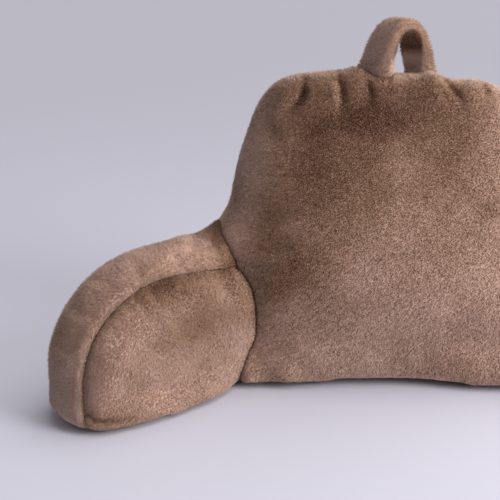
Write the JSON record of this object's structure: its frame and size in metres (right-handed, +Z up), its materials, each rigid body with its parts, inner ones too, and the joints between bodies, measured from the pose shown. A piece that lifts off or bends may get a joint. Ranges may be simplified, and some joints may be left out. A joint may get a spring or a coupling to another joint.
{
  "type": "reading pillow with arms",
  "caption": "Short-pile plush reading pillow: tall filled back cushion, splayed rounded arms with D-shaped inner faces, and a padded carry loop on top.",
  "frame": {"origin": "on the surface that the pillow stands on, under the middle of its outline", "axes": "-Y is the front, towards the sitter's legs; +X runs across from the arm at image left to the other arm; +Z is up"},
  "size_m": [0.8784, 0.3624, 0.4644],
  "materials": {
    "plush_back": "matt short-pile plush, mottled warm brown",
    "plush_arm": "matt short-pile plush, mottled warm brown",
    "plush_panel": "matt short-pile plush, mottled warm brown",
    "plush_loop": "matt short-pile plush, mottled warm brown"
  },
  "bodies": {
    "root": {"back_cushion": "plush_back", "arm_left": "plush_arm", "arm_right": "plush_arm", "arm_panel_left": "plush_panel", "arm_panel_right": "plush_panel", "carry_loop": "plush_loop"}
  },
  "joints": []
}
